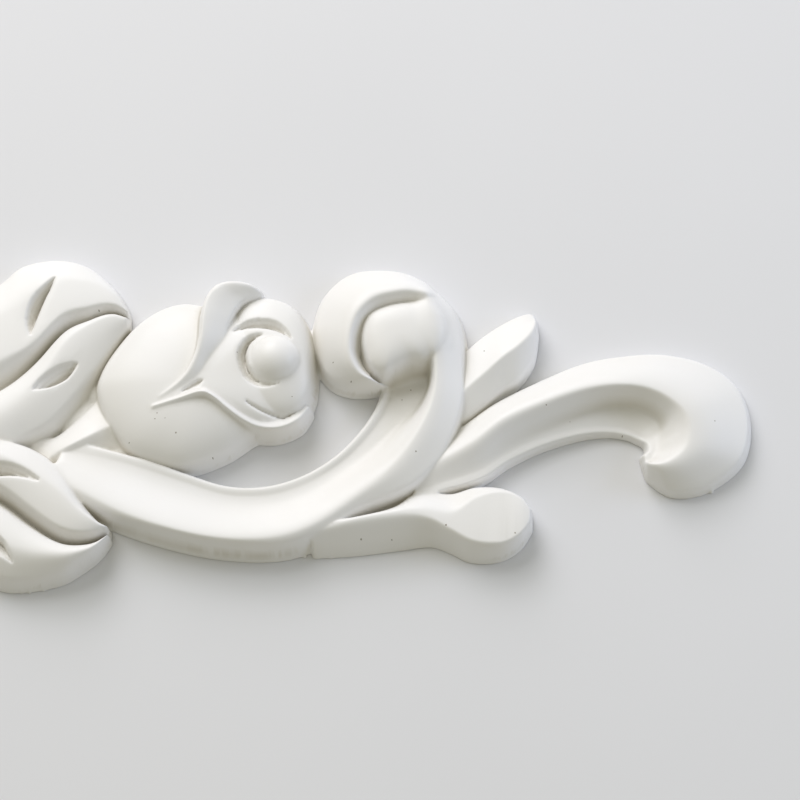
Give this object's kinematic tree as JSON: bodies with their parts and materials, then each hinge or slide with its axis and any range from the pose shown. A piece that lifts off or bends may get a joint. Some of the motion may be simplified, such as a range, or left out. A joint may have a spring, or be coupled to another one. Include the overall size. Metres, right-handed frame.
{
  "type": "furniture onlay",
  "caption": "Long moulded plastic furniture onlay with a flat back: an open rose in the middle, leaves, rosebuds, C scrolls and S scrolls spreading to both sides.",
  "frame": {"origin": "middle of the flat back, under the rose", "axes": "+X along the onlay's length, +Y across it towards the upper leaves and the volutes, +Z out of the back, the way the relief faces"},
  "size_m": [0.44, 0.0873, 0.0155],
  "materials": {
    "onlay": "warm white moulded plastic, semi-matte"
  },
  "bodies": {
    "root": {"onlay": "onlay"}
  },
  "joints": []
}
